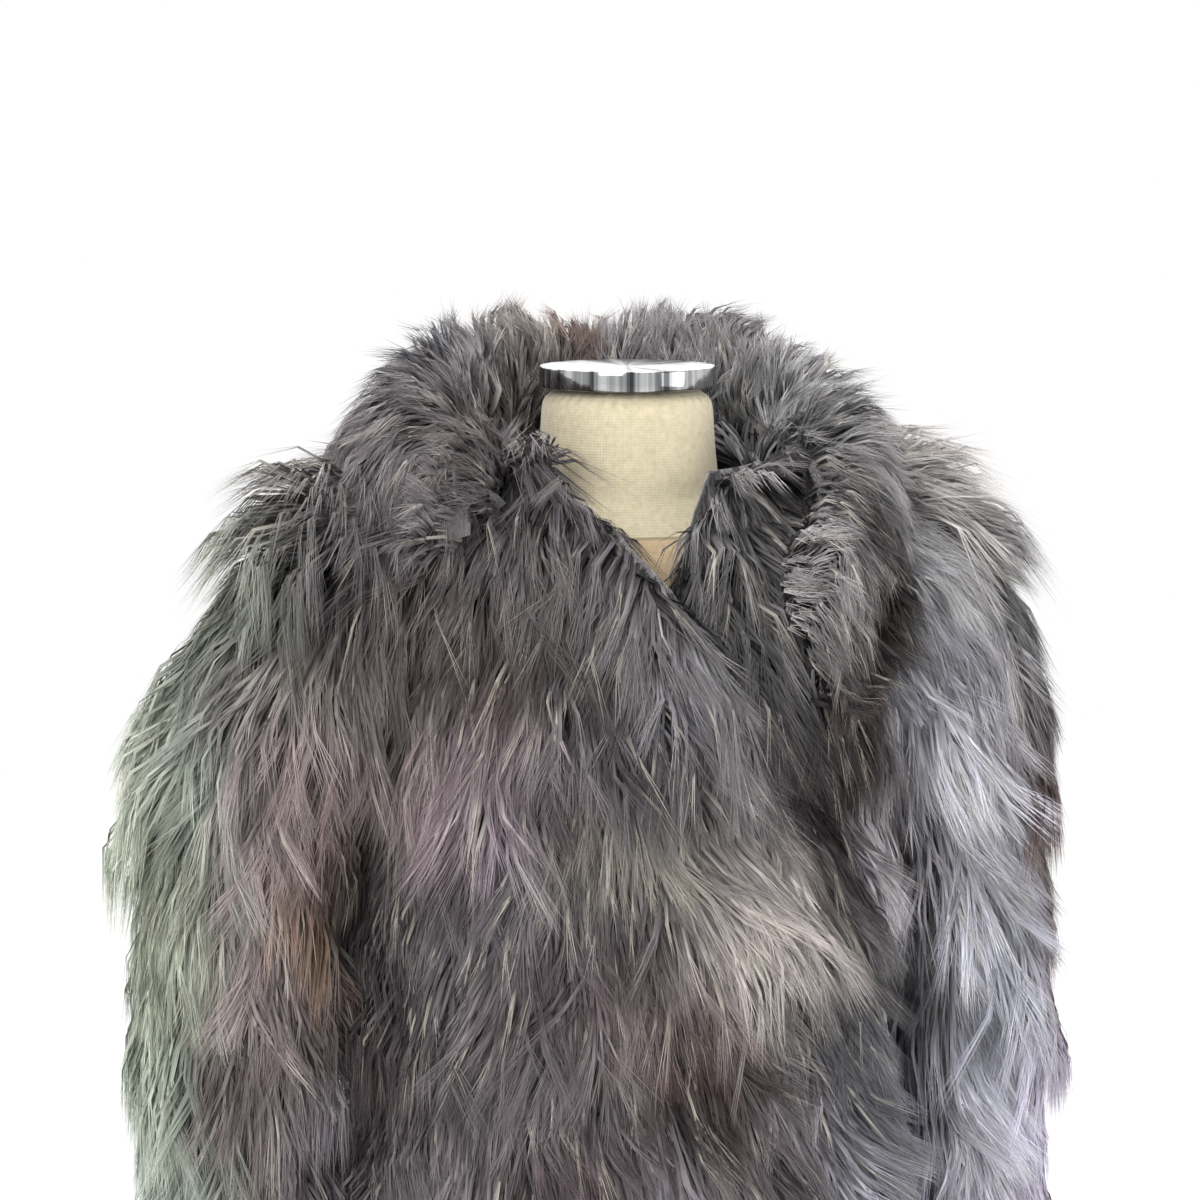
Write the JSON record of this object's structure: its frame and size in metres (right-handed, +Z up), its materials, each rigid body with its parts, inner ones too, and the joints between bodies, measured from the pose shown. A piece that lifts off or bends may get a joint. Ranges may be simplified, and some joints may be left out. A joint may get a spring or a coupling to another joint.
{
  "type": "fur coat on a limbless dress form",
  "caption": "Hip-length long-haired fur coat with lapped fronts and a rolled collar, worn by a limbless linen dress form on a round steel stand.",
  "frame": {"origin": "centre of the flat underside of the round stand base", "axes": "+Z up along the pole and neck, -Y towards the coat's front, +X towards the wearer's left"},
  "size_m": [0.622, 0.3722, 1.5231],
  "materials": {
    "grey_fur": "matte",
    "sage_fur": "matte",
    "form_linen": "matte",
    "polished_steel": "polished",
    "brushed_steel": "satin"
  },
  "bodies": {
    "root": {"coat_back": "grey_fur", "coat_front_right": "grey_fur", "coat_front_left": "grey_fur", "sleeve_right": "sage_fur", "sleeve_left": "grey_fur", "collar_right": "grey_fur", "collar_left": "grey_fur", "form_torso": "form_linen", "neck_cap": "polished_steel", "pole_socket": "brushed_steel", "stand_pole": "brushed_steel", "stand_base": "brushed_steel"}
  },
  "joints": []
}
